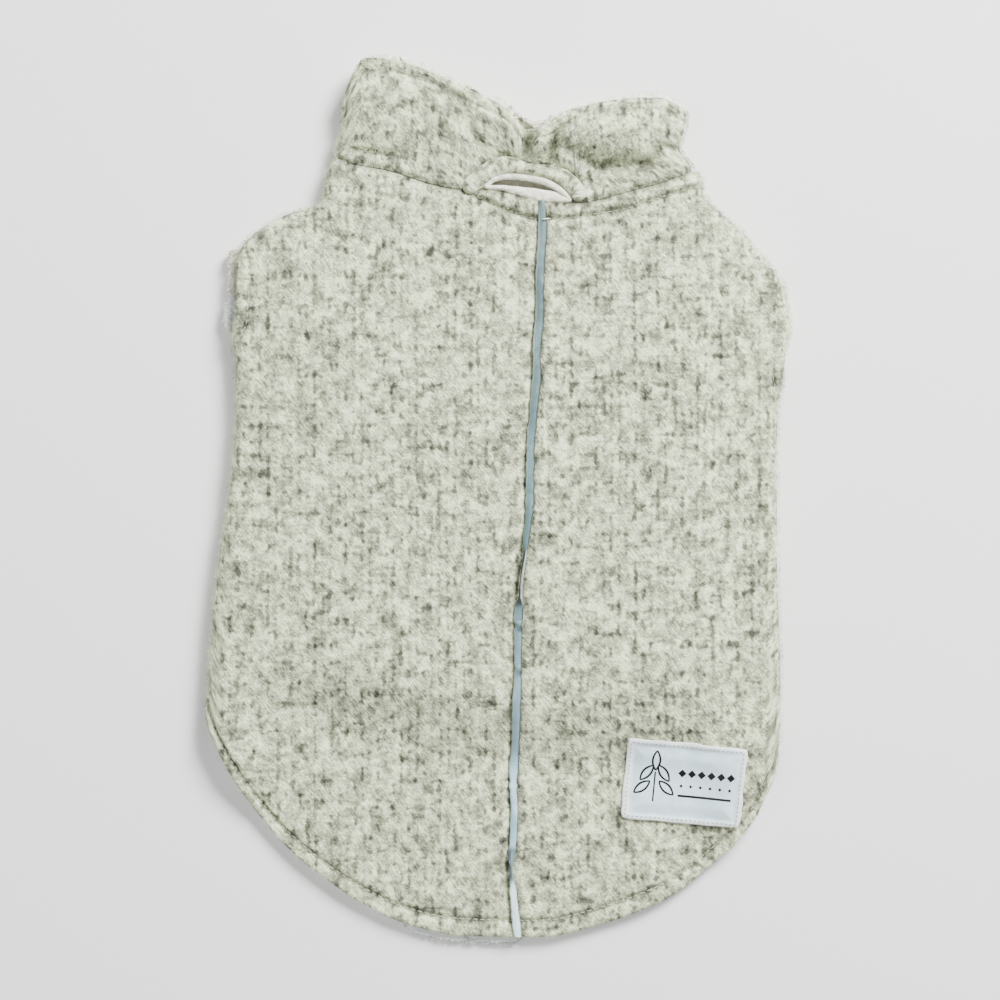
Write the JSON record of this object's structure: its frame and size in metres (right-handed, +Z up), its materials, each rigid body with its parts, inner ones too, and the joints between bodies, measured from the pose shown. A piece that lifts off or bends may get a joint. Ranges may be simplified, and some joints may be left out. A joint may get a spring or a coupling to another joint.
{
  "type": "dog coat",
  "caption": "Lined pullover coat for a small dog with a stand collar and a leash slit, laid flat with its back up.",
  "frame": {"origin": "on the surface the coat lies on, under the middle of its outline", "axes": "+Y from the hem to the collar, +Z up through the coat's back, +X to the right as the back is looked down on with the collar away"},
  "size_m": [0.2486, 0.3755, 0.021],
  "materials": {
    "knit_fleece": "matt heathered knit with a short nap",
    "pile_lining": "cream curly pile",
    "reflective_tape": "satin woven tape with a grey sheen",
    "label_satin": "satin weave"
  },
  "bodies": {
    "root": {"back_left": "knit_fleece", "back_right": "knit_fleece", "back_lining": "pile_lining", "belly_panel": "knit_fleece", "belly_lining": "pile_lining", "collar": "knit_fleece", "collar_lining": "pile_lining", "slit_welt": "knit_fleece", "slit_facing": "pile_lining", "piping": "reflective_tape", "label": "label_satin"}
  },
  "joints": []
}
